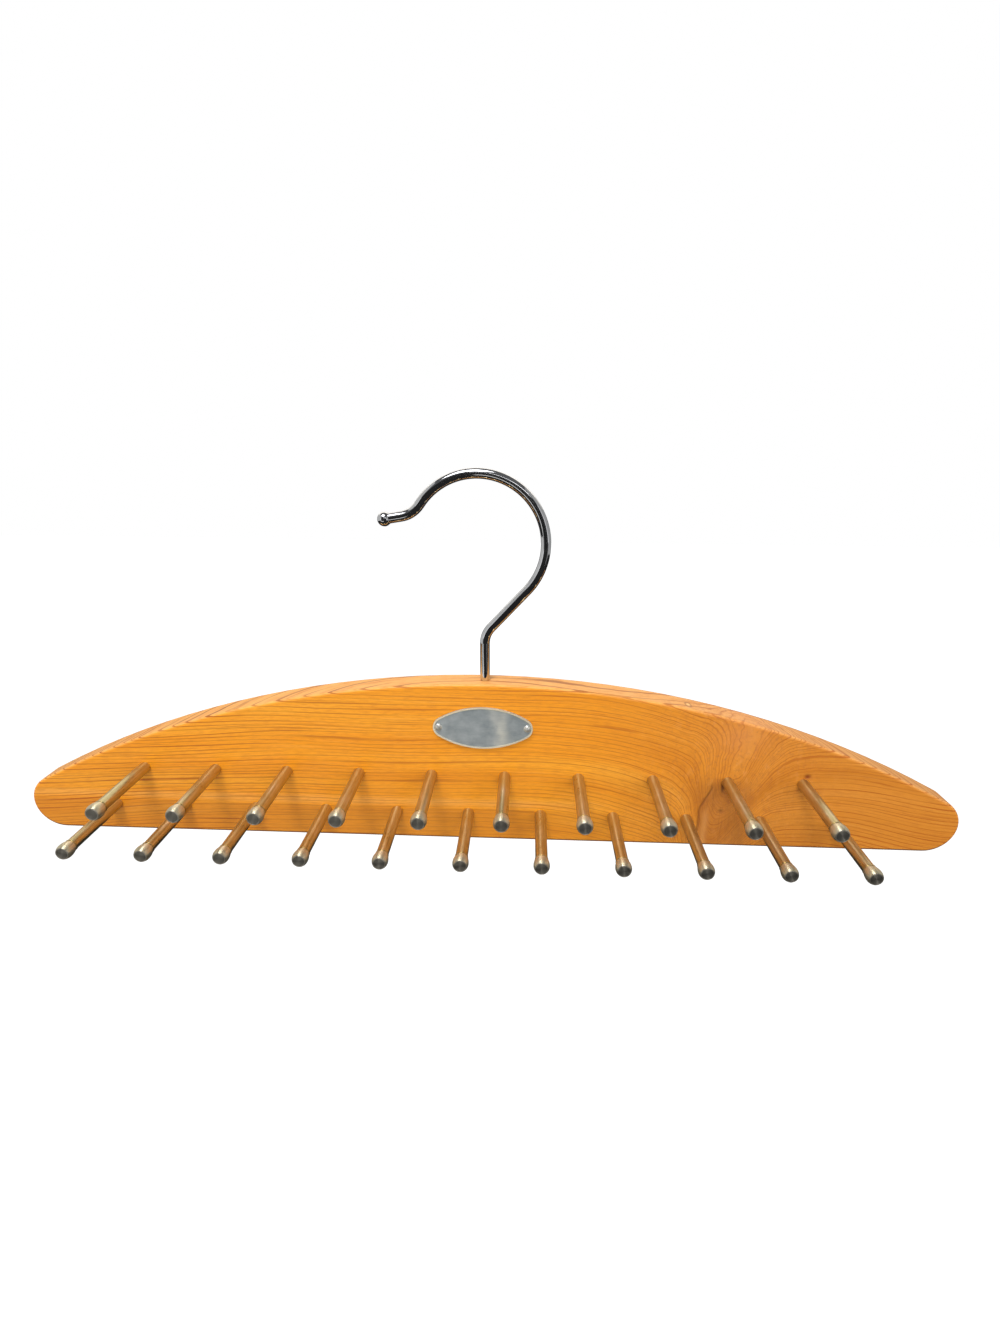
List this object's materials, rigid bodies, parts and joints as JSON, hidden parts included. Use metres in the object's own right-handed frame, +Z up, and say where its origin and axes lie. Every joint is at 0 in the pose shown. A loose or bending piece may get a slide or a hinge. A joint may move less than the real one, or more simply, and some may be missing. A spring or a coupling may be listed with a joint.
{
  "type": "tie hanger",
  "caption": "Bowed cedar hanger board with staggered rows of headed steel pegs for ties, an oval badge, and a wire hook that swivels.",
  "frame": {"origin": "the rod seat, the lowest point on the inside of the hook's crown, where a closet rod bears", "axes": "+X along the board to the right as seen from the peg side, +Z up; the pegs point to -Y"},
  "size_m": [0.3819, 0.048, 0.1487],
  "materials": {
    "cedar": "clear lacquer, satin to gloss",
    "chrome_wire": "mirror",
    "peg_nickel": "bright nickel plate",
    "badge_metal": "brushed, with a polished rim",
    "pin_metal": "polished"
  },
  "bodies": {
    "hook": {"hook": "chrome_wire"},
    "board": {"board": "cedar", "badge_plate": "badge_metal", "badge_pin_left": "pin_metal", "badge_pin_right": "pin_metal", "upper_peg_1": "peg_nickel", "upper_peg_2": "peg_nickel", "upper_peg_3": "peg_nickel", "upper_peg_4": "peg_nickel", "upper_peg_5": "peg_nickel", "upper_peg_6": "peg_nickel", "upper_peg_7": "peg_nickel", "upper_peg_8": "peg_nickel", "upper_peg_9": "peg_nickel", "upper_peg_10": "peg_nickel", "lower_peg_1": "peg_nickel", "lower_peg_2": "peg_nickel", "lower_peg_3": "peg_nickel", "lower_peg_4": "peg_nickel", "lower_peg_5": "peg_nickel", "lower_peg_6": "peg_nickel", "lower_peg_7": "peg_nickel", "lower_peg_8": "peg_nickel", "lower_peg_9": "peg_nickel", "lower_peg_10": "peg_nickel", "lower_peg_11": "peg_nickel"}
  },
  "joints": [
    {"name": "hook_swivel", "type": "hinge", "parent": "hook", "child": "board", "pos_m": [0.00275, 0, -0.076], "axis": [0, 0, 1], "continuous": true}
  ]
}
